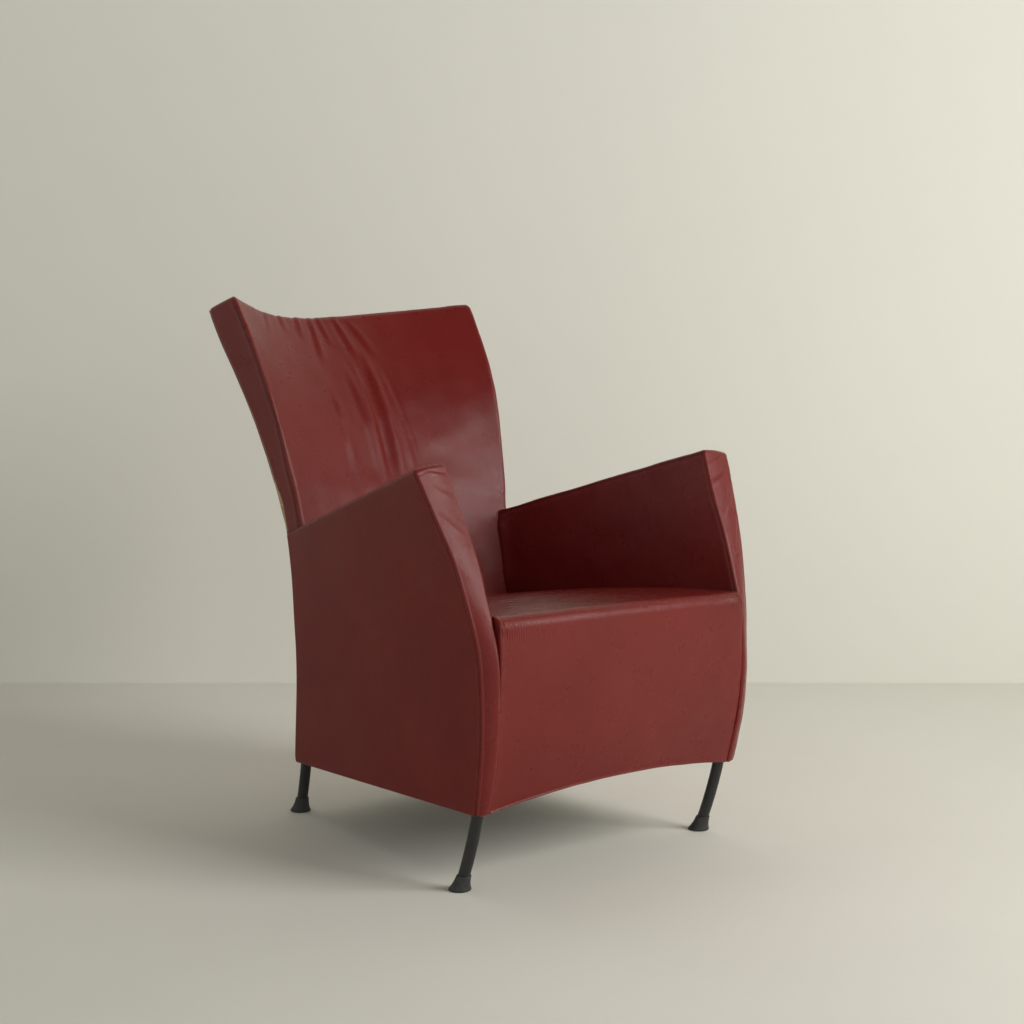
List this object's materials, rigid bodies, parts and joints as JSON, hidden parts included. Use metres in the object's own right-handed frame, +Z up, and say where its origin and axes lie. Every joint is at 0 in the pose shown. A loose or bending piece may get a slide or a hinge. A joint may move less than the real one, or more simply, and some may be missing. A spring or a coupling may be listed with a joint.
{
  "type": "armchair",
  "caption": "Upholstered leather armchair with a tall back that flares at its top, sloping arms that flare at the front, and curved tube legs with bell feet.",
  "frame": {"origin": "on the floor below the middle of the chair's whole width and depth", "axes": "+Z up, front of the chair towards -Y, +X towards the sitter's left side"},
  "size_m": [0.717, 0.9401, 0.984],
  "materials": {
    "leather": "brick red pigmented leather, semi-matte",
    "foam": "pale cut foam",
    "wood": "plain plywood and beech",
    "webbing": "black elastic webbing",
    "dust_cloth": "black non-woven cloth",
    "black_steel": "satin black",
    "plate_steel": "satin black",
    "screw_steel": "zinc plated",
    "rubber": "dark grey, matte"
  },
  "bodies": {
    "root": {"arm_band_leather_left": "leather", "arm_band_leather_right": "leather", "arm_front_pad_left": "foam", "arm_front_pad_right": "foam", "back_foam": "foam", "back_post_left": "wood", "back_post_right": "wood", "back_side_band_left": "leather", "back_side_band_right": "leather", "back_top_band": "leather", "back_webbing": "webbing", "corner_blocks": "wood", "dust_cover": "dust_cloth", "front_board": "wood", "front_fall_pad": "foam", "front_foot_left": "rubber", "front_foot_right": "rubber", "front_leg_left": "black_steel", "front_leg_plate_left": "plate_steel", "front_leg_plate_right": "plate_steel", "front_leg_right": "black_steel", "inner_arm_leather_left": "leather", "inner_arm_leather_right": "leather", "inner_arm_pad_left": "foam", "inner_arm_pad_right": "foam", "inside_back_leather": "leather", "lower_rear_rail": "wood", "outer_arm_leather_left": "leather", "outer_arm_leather_right": "leather", "outer_arm_pad_left": "foam", "outer_arm_pad_right": "foam", "outside_back_leather": "leather", "plate_screws": "screw_steel", "rear_foot_left": "rubber", "rear_foot_right": "rubber", "rear_leg_left": "black_steel", "rear_leg_plate_left": "plate_steel", "rear_leg_plate_right": "plate_steel", "rear_leg_right": "black_steel", "rear_seat_rail": "wood", "seat_cover": "leather", "seat_foam": "foam", "seat_webbing_cross": "webbing", "seat_webbing_long": "webbing", "side_panel_left": "wood", "side_panel_right": "wood", "side_seat_rail_left": "wood", "side_seat_rail_right": "wood", "top_rail": "wood", "waist_rail": "wood"}
  },
  "joints": []
}
